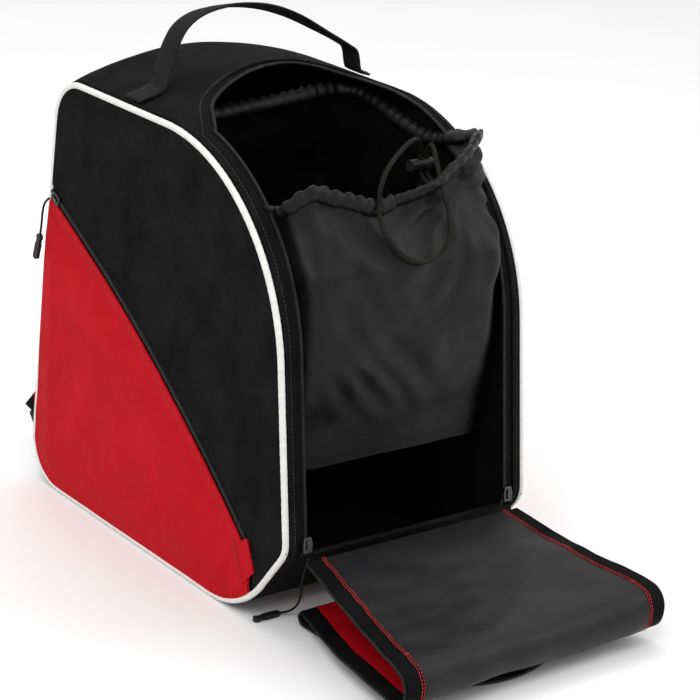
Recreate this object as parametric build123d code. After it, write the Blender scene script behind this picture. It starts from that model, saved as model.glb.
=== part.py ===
from build123d import *
import os
from math import cos, hypot, pi, radians, sin, tan

os.makedirs("parts", exist_ok=True)

# A ski boot bag with its front flap open.  Millimetres, +Z up, with the floor at Z = 0 and the
# origin under the middle of the bag.  X runs across the bag, the front opening faces -Y and the
# back panel faces +Y.

# ---------------------------------------------------------------- driving dimensions
PIPING_X = 133.0            # middle of the piping on each side seam
PIPING_R = 3.0
GUSSET_HALF = 129.8         # half width of the gusset that runs round the bag
WALL = 4.0                  # gusset fabric with its padding
CROWN_TOP = 24.0            # rise of the top panel in the middle of its width
CROWN_BACK = 8.0            # fullness of the padded back panel
# corners of the side seam, Y and Z, from the front's foot round over the top
SEAM = [(-211.5, 86), (-170, 417), (180, 417), (222, 3), (-148, 3)]
SEAM_RADII = [25, 190, 40, 45, 100]

HINGE_Z = 76.0              # where the flap is sewn on, above the floor
STRIP_X = 122.0             # inner edge of the gusset strips beside the opening
ZIP_BAND = 10.0             # zip tape and coil inside the opening's edge
ZIP_TAPE = 7.0
OPENING_FRONT_Y = -320.0
OPENING_BACK = [(-122, -50), (-84, 8), (0, 60), (72, 74), (108, 20), (122, -50)]

PANEL_OUT = 135.0           # outer face of a side panel
PANEL_IN = 131.0
LINING_OUT = 128.5
LINING_IN = 126.5

POCKET_ZIP_BACK = (193, 307)    # ends of the side pocket's zip, Y and Z
POCKET_ZIP_FRONT = (-152, 78)
POCKET_ZIP_RISE = 16.0          # how far the zip bows upwards
POCKET_TAPE = 16.0
POCKET_FRONT_Y = -160.0
COIL = 3.0

FLAP_T = 5.0                # flap thickness: outer fabric, padding and lining
FLAP_HINGE = (-223, 78)     # Y and Z of the sewn hinge
FLAP_DROP = radians(12)     # slope of the top layer
FLAP_LOWER = 153.0          # hinge to front fold
FLAP_MIDDLE = 86.0          # each of the two stretches that lie underneath
FLAP_TIP = 170.0            # back fold to the flap's end
FLAP_LEFT = [-118, -133, -122, -100]    # left edge at the hinge and at each fold
FLAP_RIGHT = [118, 155, 134, 100]
TIP_HALF = 98.0
FRONT_FOLD_R = 16.0         # to the middle of the fabric
FOLD_GAP = 12.0             # soft stretch left at each side of the front fold
BEND_GAP = 3.0
BACK_FOLD_GAP = 6.0
TIP_Z = 3.0                 # middle of the lowest layer above the floor
FLAP_EDGE = 18.0            # black border along the flap's edge
FLAP_ZIP = 6.0

SLIDER_REST_Z = 91.0
SLIDER_T = 4.0
PULL_D = 2.2
TAB = (28.0, 7.0, 3.5)

CORD_D = 4.5
LOCK_X = (60.0, 86.0)
LOCK_D = 11.0
LOCK_Y = -107.0
LOCK_Z = 382.0
LOCK_BORE = 8.0
LOCK_WALL = 2.0             # closed end of the barrel
CORD_ROOM = 0.5             # between a strand and the hole that it runs through
CORD_X = (72.0, 79.0)       # the two strands through the cord lock
PLUNGER_X = (67.6, 90.0)
PLUNGER_TRAVEL = 2.5
SPRING_WIRE = 0.6

HANDLE_Y = 60.0
HANDLE_W = 26.0
HANDLE_T = 3.0

STRAP_X = 58.0
STRAP_TOP_Z = 385.0
STRAP_LENGTH = 215.0
STRAP_W = 56.0
STRAP_T = 12.0
STRAP_STANDOFF = 14.0       # pad's inner face from the rear seam line
WEBBING_W = 22.0
WEBBING_T = 2.0


def save(shape, name):
    export_step(shape, f"parts/{name}.step")


def box(x, y, z):
    """A box between two corners, given as (low, high) along each axis."""
    size = [pair[1] - pair[0] for pair in (x, y, z)]
    middle = [(pair[0] + pair[1]) / 2 for pair in (x, y, z)]
    return Pos(*middle) * Box(*size)


def group(*shapes):
    solids = [solid for shape in shapes for solid in shape.solids()]
    return Compound(children=solids) if len(solids) > 1 else solids[0]


def mirrored(shape):
    return mirror(shape, about=Plane.YZ)


def side_plane(x):
    """A plane across the bag at x, with local x along +Y and local y along +Z."""
    return Plane(origin=(x, 0, 0), x_dir=(0, 1, 0), z_dir=(1, 0, 0))


def seam_wire(top=0.0, back=0.0):
    """The side seam's outline, with its top raised and its back pushed out."""
    front_low, front_high, back_high, back_low, bottom_front = SEAM
    corners = [
        front_low,
        (front_high[0], front_high[1] + top),
        (back_high[0] + back, back_high[1] + top),
        (back_low[0] + back, back_low[1]),
        bottom_front,
    ]
    return FilletPolyline(*corners, radius=SEAM_RADII, close=True)


def seam_face(inset, top=0.0, back=0.0):
    return offset(make_face(seam_wire(top, back)), amount=-inset, kind=Kind.ARC)


def crown(x):
    return 1 - (x / PIPING_X) ** 2


def bag_body(inset, half=GUSSET_HALF):
    """The bag's crowned body between x = -half and half, inset from its outer surface."""
    stations = [-half, -half * 0.55, 0, half * 0.55, half]
    faces = []
    for x in stations:
        c = max(crown(x), 0)
        faces.append(side_plane(x) * seam_face(inset - PIPING_R, CROWN_TOP * c, CROWN_BACK * c))
    return loft(faces)


def shell(outer, inner):
    """A layer of the gusset between two depths below its outer surface."""
    return bag_body(outer) - bag_body(inner, GUSSET_HALF + 2)


def opening_face(inset=0.0):
    """Plan of the main opening, narrowed by inset."""
    half = STRIP_X - inset
    back_points = [
        (x * half / STRIP_X, y - inset * (1 - (x / STRIP_X) ** 2)) for x, y in OPENING_BACK
    ]
    back = Spline(*back_points, tangents=[(0, 1), (0, -1)])
    sides = Polyline(back_points[-1], (half, OPENING_FRONT_Y), (-half, OPENING_FRONT_Y), back_points[0])
    return make_face(back + sides)


def opening_prism(inset=0.0):
    return extrude(Pos(0, 0, HINGE_Z) * opening_face(inset), amount=500)


# ---------------------------------------------------------------- gusset and main zip
EVERYWHERE = (-400, 400)
BASE_Y = (-92.0, 172.0)
STRIP_END_Y = -50.0
TOP_Z = 385.0


def make_gusset():
    fabric = shell(0, WALL) - opening_prism()
    across = (-200, 200)
    front_low = fabric & box(across, (-300, BASE_Y[0]), (-20, HINGE_Z))
    strips = fabric & box(across, (-300, STRIP_END_Y), (HINGE_Z, 500))
    top = fabric & box(across, (STRIP_END_Y, 300), (TOP_Z, 500))
    back = fabric & box(across, (100, 300), (-20, TOP_Z))
    back -= box(across, (0, BASE_Y[1]), (-20, 60))
    save(group(front_low), "front_sill")
    save(group(strips & box((-200, 0), EVERYWHERE, (0, 500))), "front_strip_left")
    save(group(strips & box((0, 200), EVERYWHERE, (0, 500))), "front_strip_right")
    save(group(top), "top_panel")
    save(group(back), "back_panel")
    save(box((-GUSSET_HALF, GUSSET_HALF), BASE_Y, (0, WALL)), "base_panel")
    save(box((-118, 118), (BASE_Y[0] + 8, BASE_Y[1] - 8), (WALL + 0.5, WALL + 3.5)), "base_board")

    foam = shell(WALL + 0.5, WALL + 6.5) & box((-112, 112), (100, 300), (60, 372))
    save(group(foam), "back_foam")

    tape = shell(1.4, 2.6) & (opening_prism() - opening_prism(ZIP_TAPE))
    coil = shell(0.5, 3.5) & (opening_prism(ZIP_TAPE) - opening_prism(ZIP_BAND))
    behind_hinge = box(across, (-300, 200), (HINGE_Z, 500))
    save(group(tape & behind_hinge, coil & behind_hinge), "main_zip")


# ---------------------------------------------------------------- side panels and pockets
def pocket_circle():
    """Centre and radius of the arc that a side pocket's zip follows."""
    (y0, z0), (y1, z1) = POCKET_ZIP_FRONT, POCKET_ZIP_BACK
    chord = hypot(y1 - y0, z1 - z0)
    radius = (chord ** 2 / 4 + POCKET_ZIP_RISE ** 2) / (2 * POCKET_ZIP_RISE)
    depth = radius - POCKET_ZIP_RISE
    along = ((y1 - y0) / chord, (z1 - z0) / chord)
    middle = ((y0 + y1) / 2, (z0 + z1) / 2)
    return (middle[0] + along[1] * depth, middle[1] - along[0] * depth), radius


def side_slab(face, low, high):
    return extrude(side_plane(low) * face, amount=high - low)


def make_sides():
    (cy, cz), radius = pocket_circle()
    inside = seam_face(PIPING_R + 0.3)
    behind_tip = Pos(POCKET_FRONT_Y + 300, 200) * Rectangle(600, 800)
    under_band = Pos(cy, cz) * Circle(radius - POCKET_TAPE / 2)
    over_band = Pos(cy, cz) * Circle(radius + POCKET_TAPE / 2)
    under_coil = Pos(cy, cz) * Circle(radius - COIL / 2)
    over_coil = Pos(cy, cz) * Circle(radius + COIL / 2)

    red = inside & under_band & behind_tip
    black = inside - (over_band & behind_tip)
    tape = (inside & over_band & behind_tip) - under_band
    coil = (inside & over_coil & behind_tip) - under_coil

    panel = side_slab(black, PANEL_IN, PANEL_OUT)
    pocket = side_slab(red, PANEL_IN + 0.3, PANEL_OUT)
    tab_plan = Polyline((-133, 66), (-158, 80), (-170, 52), (-153, 34), close=True)
    tab = side_slab(make_face(tab_plan), PANEL_OUT + 0.1, PANEL_OUT + 1.1)
    zip_tape = side_slab(tape, PANEL_IN + 0.5, PANEL_IN + 1.7)
    zip_coil = side_slab(coil, PANEL_IN + 1.7, PANEL_IN + 3.7)
    piping_path = side_plane(PIPING_X) * seam_wire()
    start = Plane(origin=piping_path @ 0, z_dir=piping_path % 0)
    piping = sweep(start * Circle(PIPING_R), path=piping_path)

    for side, turn in (("right", lambda shape: shape), ("left", mirrored)):
        save(group(turn(panel)), f"side_panel_{side}")
        save(group(turn(pocket), turn(tab)), f"pocket_panel_{side}")
        save(group(turn(zip_tape), turn(zip_coil)), f"pocket_zip_{side}")
        save(group(turn(piping)), f"piping_{side}")
    lining = side_slab(seam_face(4), LINING_IN, LINING_OUT) & bag_body(WALL + 0.3)
    save(group(lining, mirrored(lining)), "side_lining")


# ---------------------------------------------------------------- front flap, folded open
def slab(plane, face, low, high):
    """A face laid on a plane and thickened between two heights above it."""
    return extrude(plane * Pos(0, 0, low) * face, amount=high - low)


def edges_at(share, start):
    """Left and right edge of the flap, a share of the way from fold number start to the next."""
    left = FLAP_LEFT[start] + share * (FLAP_LEFT[start + 1] - FLAP_LEFT[start])
    right = FLAP_RIGHT[start] + share * (FLAP_RIGHT[start + 1] - FLAP_RIGHT[start])
    return left, right


def stretch_face(start, length, v0, v1, inset, turn):
    """One flat stretch of the flap between v0 and v1 along it, its sides moved in by inset."""
    left0, right0 = edges_at(v0 / length, start)
    left1, right1 = edges_at(v1 / length, start)
    corners = [
        (left0 + inset, turn * v0),
        (right0 - inset, turn * v0),
        (right1 - inset, turn * v1),
        (left1 + inset, turn * v1),
    ]
    return make_face(Polyline(*corners, close=True))


def tip_face(inset):
    """The flap's rounded end, drawn from the back fold forwards."""
    half = TIP_HALF - inset
    straight = FLAP_TIP - TIP_HALF
    corners = [(-half, -straight), (-half, -BACK_FOLD_GAP), (half, -BACK_FOLD_GAP), (half, -straight)]
    return make_face(Polyline(*corners) + RadiusArc(corners[-1], corners[0], half))


def save_stretch(name, plane, faces, lining_side):
    """Save the outer panel, the lining and the zipped border of one stretch of the flap."""
    whole, inside_zip, inside_edge = faces
    half = FLAP_T / 2
    lining = (0.1, half) if lining_side > 0 else (-half, -0.1)
    outer = (-half, -0.1) if lining_side > 0 else (0.1, half)
    save(group(slab(plane, inside_edge, *outer)), f"{name}_panel")
    save(group(slab(plane, inside_edge, *lining)), f"{name}_lining")
    border = slab(plane, inside_zip - inside_edge, -half, half)
    zip_half = slab(plane, whole - inside_zip, -1, 1)
    save(group(border, zip_half), f"{name}_border")


def make_flap():
    insets = (0, FLAP_ZIP, FLAP_EDGE)
    hinge_y, hinge_z = FLAP_HINGE
    up = (-sin(FLAP_DROP), cos(FLAP_DROP))
    foot = (hinge_y - FLAP_LOWER * cos(FLAP_DROP), hinge_z - FLAP_LOWER * sin(FLAP_DROP))
    fold = (foot[0] - FRONT_FOLD_R * up[0], foot[1] - FRONT_FOLD_R * up[1])
    under_z = fold[1] - FRONT_FOLD_R
    bend_y = fold[0] + FLAP_MIDDLE
    back_y = bend_y + FLAP_MIDDLE
    back_z = (under_z + TIP_Z) / 2
    print("flap_hinge", hinge_y, hinge_z)
    print("flap_front_fold", round(fold[0], 3), round(fold[1], 3))
    print("flap_bend", round(bend_y, 3), round(under_z, 3))
    print("flap_back_fold", round(back_y, 3), round(back_z, 3))

    lower = Plane(origin=(0, hinge_y, hinge_z), x_dir=(1, 0, 0), z_dir=(0, *up))
    faces = [stretch_face(0, FLAP_LOWER, 4, FLAP_LOWER - FOLD_GAP, i, -1) for i in insets]
    save_stretch("flap_lower", lower, faces, 1)

    middle = Plane(origin=(0, fold[0], under_z))
    faces = [stretch_face(1, FLAP_MIDDLE, FOLD_GAP, FLAP_MIDDLE - BEND_GAP, i, 1) for i in insets]
    save_stretch("flap_middle", middle, faces, -1)

    upper = Plane(origin=(0, bend_y, under_z))
    upper_end = FLAP_MIDDLE - BACK_FOLD_GAP
    faces = [stretch_face(2, FLAP_MIDDLE, BEND_GAP, upper_end, i, 1) for i in insets]
    save_stretch("flap_upper", upper, faces, -1)

    tip = Plane(origin=(0, back_y, TIP_Z))
    save_stretch("flap_tip", tip, [tip_face(i) for i in insets], 1)

    save(fold_tube(fold, FRONT_FOLD_R, (FLAP_LEFT[1] + 2, FLAP_RIGHT[1] - 4), -1), "flap_front_fold")
    back_r = (under_z - TIP_Z) / 2
    save(fold_tube((back_y, back_z), back_r, (-82, 82), 1), "flap_back_fold")


def fold_tube(centre, radius, across, side):
    """Half a tube of flap fabric round a fold that runs across the flap."""
    plane = side_plane(across[0])
    ring = Circle(radius + FLAP_T / 2) - Circle(radius - FLAP_T / 2)
    half = Pos(side * radius, 0) * Rectangle(2 * radius, 4 * radius)
    face = Pos(*centre) * (ring & half)
    return extrude(plane * face, amount=across[1] - across[0])


# ---------------------------------------------------------------- sliders, pulls and cords
def cord_path(points):
    """Straight runs joined by arcs as large as each pair of runs allows."""
    knots = [Vector(*point) for point in points]
    runs = [after - before for before, after in zip(knots, knots[1:])]
    radii = []
    for before, after in zip(runs, runs[1:]):
        turn = radians(before.get_angle(after))
        radii.append(0.45 * min(before.length, after.length) / tan(turn / 2))
    return FilletPolyline(*knots, radius=radii), radii


def cord_tube(points, diameter, name):
    path, radii = cord_path(points)
    start = Plane(origin=path @ 0, z_dir=path % 0)
    tube = sweep(start * Circle(diameter / 2), path=path)
    expected = pi * diameter ** 2 / 4 * path.length
    print(name, "length", round(path.length, 1), "radii", [round(r, 1) for r in radii])
    print(name, "volume share", round(tube.volume / expected, 4))
    save(group(tube), name)


def slider_body(length, width, thickness):
    """A zip slider lying on the XY plane, its nose towards +Y, with a bridge on top."""
    outline = Polyline(
        (-width * 0.36, -length / 2),
        (width * 0.36, -length / 2),
        (width / 2, 0),
        (width * 0.42, length / 2),
        (-width * 0.42, length / 2),
        (-width / 2, 0),
        close=True,
    )
    plate = extrude(make_face(outline), amount=thickness * 0.6)
    bridge = Pos(0, 0, thickness * 0.8) * Box(width * 0.3, length * 0.62, thickness * 0.4)
    gap = Pos(0, 0, thickness * 0.68) * Box(width, length * 0.3, thickness * 0.18)
    return plate + bridge - gap


def rubber_tab():
    """A moulded zip-pull tab along X, centred on the origin."""
    length, width, thickness = TAB
    body = extrude(RectangleRounded(length, width, width * 0.45), amount=thickness / 2, both=True)
    waist = Pos(-length * 0.22, 0, 0) * Box(length * 0.18, width * 2, thickness * 2)
    waist -= Pos(-length * 0.22, 0, 0) * Box(length, width * 0.7, thickness * 3)
    return body - waist


MAIN_PULL = [
    (-114, -219.5, 81),
    (-117, -217, 66),
    (-112, -209, 48),
    (-103, -196, 30),
    (-96, -182, 15),
    (-96, -171, 4.5),
    (-102.5, -165, 2.6),
]
MAIN_TAB_MIDDLE = (-116.5, -165, 2.6)
POCKET_SLIDER_AT = 0.65         # degrees along the arc from the zip's back end
POCKET_PULL_X = 141.0
POCKET_PULL = [(184, 300), (192, 295), (196.5, 283), (197.5, 271), (200, 260)]
POCKET_TAB_MIDDLE = (204, 246.5)
POCKET_TAB_ANGLE = -73.0


def make_main_sliders():
    along = Vector(0, SEAM[1][0] - SEAM[0][0], SEAM[1][1] - SEAM[0][1]).normalized()
    outward = Vector(0, -along.Z, along.Y)
    surface = Vector(0, SEAM[0][0], SEAM[0][1]) + along * (SLIDER_REST_Z - SEAM[0][1])
    seat = surface + outward * (PIPING_R + 0.2)
    coil_x = STRIP_X - (ZIP_TAPE + ZIP_BAND) / 2
    plane = Plane(origin=(coil_x, seat.Y, seat.Z), x_dir=(-1, 0, 0), z_dir=tuple(outward))
    slider = plane * slider_body(14, 10, SLIDER_T)
    print("main slider axis", round(along.Y, 5), round(along.Z, 5))
    tab = Pos(*MAIN_TAB_MIDDLE) * rubber_tab()
    save(group(slider), "main_slider_right")
    save(group(mirrored(slider)), "main_slider_left")
    save(group(tab), "main_tab_left")
    save(group(mirrored(tab)), "main_tab_right")
    cord_tube(MAIN_PULL, PULL_D, "main_pull_left")
    cord_tube([(-x, y, z) for x, y, z in MAIN_PULL], PULL_D, "main_pull_right")


def make_pocket_sliders():
    (cy, cz), radius = pocket_circle()
    y, z = POCKET_ZIP_BACK
    radial = Vector(0, y - cy, z - cz).normalized()
    radial = radial.rotate(Axis.X, POCKET_SLIDER_AT)
    seat = Vector(PANEL_OUT + 0.3, cy, cz) + radial * radius
    print("pocket zip centre", round(cy, 3), round(cz, 3), "radius", round(radius, 2))
    plane = Plane(origin=tuple(seat), x_dir=tuple(radial), z_dir=(1, 0, 0))
    slider = plane * slider_body(14, 10, SLIDER_T)
    tab_plane = Plane(
        origin=(POCKET_PULL_X, *POCKET_TAB_MIDDLE),
        x_dir=(0, cos(radians(POCKET_TAB_ANGLE)), sin(radians(POCKET_TAB_ANGLE))),
        z_dir=(1, 0, 0),
    )
    tab = tab_plane * rubber_tab()
    for side, sign in (("right", 1), ("left", -1)):
        turn = (lambda shape: shape) if sign > 0 else mirrored
        save(group(turn(slider)), f"pocket_slider_{side}")
        save(group(turn(tab)), f"pocket_tab_{side}")
        route = [(sign * POCKET_PULL_X, py, pz) for py, pz in POCKET_PULL]
        cord_tube(route, PULL_D, f"pocket_pull_{side}")


# ---------------------------------------------------------------- helmet compartment
COMPARTMENT = [                 # height, front, back and half width of its outer surface
    (152, -168, 92, 104),
    (250, -190, 96, 112),
    (310, -178, 88, 114),
    (370, -133, 62, 114),
    (450, -96, 40, 114),
]
COMPARTMENT_WALL = 3.0
COMPARTMENT_CORNER = 34.0
HEM = 12.0
RIM_AT = (0, -133, 368)
RIM_UP = (-0.1, -0.22, 1)       # the rim rises to the right and to the back

DRAWCORD = [
    (CORD_X[0], -126.5, 368),
    (CORD_X[0], LOCK_Y, 368),
    (CORD_X[0], LOCK_Y, 396),
    (62, -114, 409),
    (44, -126, 412),
    (20, -140, 407),
    (-4, -153, 397),
    (-21, -166, 378),
    (-27, -182, 354),
    (-14, -193, 333),
    (7, -198, 324),
    (28, -198, 329),
    (41, -194, 342),
    (47, -183, 359),
    (54, -164, 373),
    (64, -142, 389),
    (75, -119, 405),
    (CORD_X[1], LOCK_Y, 396),
    (CORD_X[1], LOCK_Y, 368),
    (CORD_X[1], -126, 368),
]


def compartment_body(grow):
    sections = []
    for z, front, back, half in COMPARTMENT:
        depth = back - front + 2 * grow
        outline = RectangleRounded(2 * (half + grow), depth, COMPARTMENT_CORNER + grow)
        sections.append(Pos(0, (front + back) / 2, z) * outline)
    return loft(sections)


def make_compartment():
    rim = Plane(origin=RIM_AT, z_dir=RIM_UP)
    under_hem = rim.offset(-HEM)
    hollow = compartment_body(-COMPARTMENT_WALL) & box(EVERYWHERE, EVERYWHERE, (COMPARTMENT[0][0] + COMPARTMENT_WALL, 600))
    cup = compartment_body(0) - hollow
    save(group(split(cup, under_hem.offset(-0.2), keep=Keep.BOTTOM)), "helmet_compartment")
    ring = compartment_body(1.5) - compartment_body(-COMPARTMENT_WALL - 2)
    ring = split(ring, rim, keep=Keep.BOTTOM)
    save(group(split(ring, under_hem, keep=Keep.TOP)), "drawcord_hem")
    cord_tube(DRAWCORD, CORD_D, "drawcord")


def make_cord_lock():
    """A barrel that two strands run through, with a slotted, sprung plunger in its open end."""
    low, high = LOCK_X

    def across(x):
        return Plane(origin=(x, LOCK_Y, LOCK_Z), x_dir=(0, 1, 0), z_dir=(1, 0, 0))

    def rod(start, end, diameter):
        return extrude(across(start) * Circle(diameter / 2), amount=end - start)

    hole_r = CORD_D / 2 + CORD_ROOM
    barrel = rod(low, high, LOCK_D) - rod(low + LOCK_WALL, high + 1, LOCK_BORE)
    for x in CORD_X:
        barrel -= Pos(x, LOCK_Y, LOCK_Z) * Cylinder(hole_r, 2 * LOCK_D)
    slot = (CORD_X[0] - hole_r, CORD_X[1] + hole_r + PLUNGER_TRAVEL)
    side = (LOCK_Y - hole_r, LOCK_Y + hole_r)
    plunger = rod(*PLUNGER_X, LOCK_BORE - 0.4) - box(slot, side, (LOCK_Z - LOCK_D, LOCK_Z + LOCK_D))
    save(group(barrel), "cord_lock_barrel")
    save(group(plunger), "cord_lock_plunger")

    coil_start = low + LOCK_WALL + SPRING_WIRE / 2 + 0.1
    room = PLUNGER_X[0] - SPRING_WIRE / 2 - 0.1 - coil_start
    coil = Helix(pitch=room / 2, height=room, radius=3)
    wire = sweep(Plane(origin=coil @ 0, z_dir=coil % 0) * Circle(SPRING_WIRE / 2), path=coil)
    save(group(across(coil_start) * wire), "cord_lock_spring")


# ---------------------------------------------------------------- handle and shoulder straps
def webbing(points, width, thickness, radius=None):
    """Flat webbing along points in the XZ plane at the handle, its width along Y."""
    line = [(x, HANDLE_Y, z) for x, z in points]
    path = FilletPolyline(*line, radius=radius) if radius else Line(*line)
    start = Plane(origin=path @ 0, x_dir=(0, 1, 0), z_dir=path % 0)
    return sweep(start * Rectangle(width, thickness), path=path)


def make_handle():
    arch = [(-97, 450), (-81, 491), (-58, 503), (10, 499), (72, 472), (112, 450)]
    save(group(webbing(arch, HANDLE_W, HANDLE_T, radius=14)), "carry_handle")
    feet = [[(-103.5, 432.5), (-98.2, 447.5)], [(118.5, 428.5), (113.2, 447.5)]]
    save(group(*[webbing(foot, HANDLE_W, HANDLE_T) for foot in feet]), "handle_feet")
    ends = [[(-129, 423.6), (-105, 431.2)], [(119.5, 426.8), (129.5, 423.4)]]
    save(group(*[webbing(end, HANDLE_W, HANDLE_T) for end in ends]), "handle_ends")


def make_straps():
    low, high = SEAM[3], SEAM[2]
    lean = Vector(0, high[0] - low[0], high[1] - low[1]).normalized()
    outward = Vector(0, lean.Z, -lean.Y)
    top_y = low[0] + (high[0] - low[0]) * (STRAP_TOP_Z - low[1]) / (high[1] - low[1])
    middle = STRAP_STANDOFF + STRAP_T / 2
    top = Vector(STRAP_X, top_y, STRAP_TOP_Z) + outward * middle
    print("shoulder strap hinge", round(top.Y, 2), round(top.Z, 2))

    def on_back(down):
        return Plane(origin=tuple(top - lean * down), x_dir=(1, 0, 0), z_dir=tuple(outward))

    pad = on_back(STRAP_LENGTH / 2) * Box(STRAP_W, STRAP_LENGTH, STRAP_T)
    pad = fillet(pad.edges().filter_by(Axis.X, reverse=True).group_by(Axis.Z)[0], 3)
    buckle = on_back(STRAP_LENGTH + 15) * (
        Box(32, 26, 5) - Pos(0, 7, 0) * Box(24, 4, 9) - Pos(0, -1, 0) * Box(24, 4, 9)
    )
    anchor_tip = Vector(127.3, 236, 60)
    anchor_face = make_face(Polyline((221.6, 40), (238, 60), (221.6, 80), close=True))
    anchor = extrude(side_plane(126) * anchor_face, amount=2.6)
    strap_end = top - lean * (STRAP_LENGTH + 37)
    reach = strap_end - (anchor_tip + Vector(0, 3.5, 6))
    start = Plane(origin=tuple(strap_end), x_dir=(0, 1, 0), z_dir=tuple(-reach))
    tail = extrude(start * Rectangle(WEBBING_T, WEBBING_W), amount=reach.length)

    save(group(pad), "shoulder_pad_right")
    save(group(mirrored(pad)), "shoulder_pad_left")
    save(group(buckle), "ladder_lock_right")
    save(group(mirrored(buckle)), "ladder_lock_left")
    save(group(anchor, mirrored(anchor)), "strap_anchors")
    save(group(tail), "strap_webbing_right")
    save(group(mirrored(tail)), "strap_webbing_left")


make_gusset()
make_sides()
make_flap()
make_main_sliders()
make_pocket_sliders()
make_compartment()
make_cord_lock()
make_handle()
make_straps()
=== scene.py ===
from math import atan2, ceil, cos, exp, hypot, pi, radians, sin, sqrt

import bpy
from mathutils import Matrix, Vector, noise


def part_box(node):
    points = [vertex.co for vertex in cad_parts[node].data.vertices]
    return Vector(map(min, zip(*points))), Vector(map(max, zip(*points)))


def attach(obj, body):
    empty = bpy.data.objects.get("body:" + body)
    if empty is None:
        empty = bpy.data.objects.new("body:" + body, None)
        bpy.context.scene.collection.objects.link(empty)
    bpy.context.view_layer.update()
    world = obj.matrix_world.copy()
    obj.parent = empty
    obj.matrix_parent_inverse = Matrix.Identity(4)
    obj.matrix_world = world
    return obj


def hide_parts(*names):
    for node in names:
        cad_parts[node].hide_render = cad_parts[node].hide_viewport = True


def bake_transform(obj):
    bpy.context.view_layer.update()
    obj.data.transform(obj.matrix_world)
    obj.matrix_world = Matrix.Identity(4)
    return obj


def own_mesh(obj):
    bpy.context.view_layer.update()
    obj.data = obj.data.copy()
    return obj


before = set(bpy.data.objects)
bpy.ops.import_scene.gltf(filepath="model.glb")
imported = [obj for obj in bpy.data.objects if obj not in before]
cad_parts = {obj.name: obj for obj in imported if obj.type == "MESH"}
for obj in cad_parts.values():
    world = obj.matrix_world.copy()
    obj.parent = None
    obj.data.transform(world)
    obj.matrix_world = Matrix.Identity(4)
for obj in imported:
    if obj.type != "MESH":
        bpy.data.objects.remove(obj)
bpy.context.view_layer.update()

MM = 0.001
SIDES = (("left", -1), ("right", 1))
WAVE_SCALE = 0.314          # scale of a wave texture that repeats once in one unit
SHARP = radians(48)         # edges that turn by more than this are shaded as corners

# ---------------------------------------------------------------- driving sizes, in millimetres
SEAM = [(-211.5, 86), (-170, 417), (180, 417), (222, 3), (-148, 3)]     # Y and Z of its corners
SEAM_RADII = [25, 190, 40, 45, 100]
PIPING_X = 133.0
PIPING_R = 3.0
GUSSET_HALF = 129.8
WALL = 4.0
CROWN_TOP = 24.0            # how far the middle of the gusset stands above and behind the seams
CROWN_BACK = 8.0
HINGE_Z = 76.0
STRIP_X = 122.0
# X and Y of the opening's edge behind its straight sides
OPENING_BACK = [(-122, -50), (-84, 8), (0, 60), (72, 74), (108, 20), (122, -50)]
PANEL_X = 134.6             # outer face of a side panel
LINING_X = 127.5
POCKET_CENTRE = (756.899, -916.922)
POCKET_R = 1347.58
POCKET_FRONT_Y = -160.0
POCKET_TAPE = 16.0
POCKET_TAB = [(-133, 66), (-158, 80), (-170, 52), (-153, 34)]
ZIP_START_Y = -158.0
ZIP_END_Y = 189.0           # where the pocket zips meet the rear seam

FLAP_HALF_T = 2.5
FLAP_HINGE = (-223, 78)
FLAP_DROP = radians(12)
FLAP_LOWER = 153.0
FLAP_MIDDLE = 86.0
FLAP_TIP = 170.0
# X of the flap's sides at its hinge, before and after the front fold, at the bend and at the back fold
FLAP_LEFT = [-118, -133, -133, -122, -100]
FLAP_RIGHT = [118, 155, 155, 134, 100]
TIP_HALF = 98.0
FRONT_FOLD_R = 16.0
UNDER_Z = 14.539            # middle of the layer folded under, and of the tip folded back beneath it
TIP_Z = 3.0
FLAP_EDGE = 18.0


# ---------------------------------------------------------------- small helpers
def clamp(value, low=0.0, high=1.0):
    return max(low, min(high, value))


def spread(low, high, count):
    return [mix(low, high, k / count) for k in range(count + 1)]


def smooth(value, low=0.0, high=1.0):
    t = clamp((value - low) / (high - low))
    return t * t * (3 - 2 * t)


def mix(a, b, t):
    return a + (b - a) * t


def bump_at(value, middle, width):
    return exp(-((value - middle) / width) ** 2)


def rough(x, y, z, scale, seed=0.0):
    """Smooth noise between about -1 and 1, its features about scale millimetres across."""
    return noise.noise(Vector((x / scale + seed, y / scale - seed, z / scale + 2 * seed)))


def new_object(name, data):
    obj = bpy.data.objects.new(name, data)
    bpy.context.scene.collection.objects.link(obj)
    return obj


def new_mesh(name, points, faces, material):
    """A mesh object from points in millimetres."""
    mesh = bpy.data.meshes.new(name)
    mesh.from_pydata([Vector(p) * MM for p in points], [], faces)
    mesh.validate()
    mesh.materials.append(material)
    mesh.shade_smooth()
    mesh.set_sharp_from_angle(angle=SHARP)
    return new_object(name, mesh)


def grid_faces(rows, columns, base=0, wrap=False):
    faces = []
    for i in range(rows - 1):
        for j in range(columns if wrap else columns - 1):
            k = (j + 1) % columns
            a, b = base + i * columns + j, base + i * columns + k
            faces.append((a, b, b + columns, a + columns))
    return faces


def slab_faces(rows, width):
    """Faces of a grid, of the same grid behind it, and of the rim that joins them."""
    total = rows * width
    faces = grid_faces(rows, width)
    faces += [tuple(reversed([k + total for k in f])) for f in faces]
    rim = list(range(width))
    rim += [i * width + width - 1 for i in range(1, rows)]
    rim += [(rows - 1) * width + j for j in range(width - 2, -1, -1)]
    rim += [i * width for i in range(rows - 2, 0, -1)]
    return faces + [(b, a, a + total, b + total) for a, b in zip(rim, rim[1:] + rim[:1])]


def slab(name, rows, thickness, material, normals):
    """A closed cloth slab: a grid of points, and the same grid moved back along its normals."""
    front = [Vector(p) for row in rows for p in row]
    if isinstance(normals, Vector):
        normals = [normals] * len(front)
    back = [p - n * thickness for p, n in zip(front, normals)]
    return new_mesh(name, front + back, slab_faces(len(rows), len(rows[0])), material)


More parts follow.
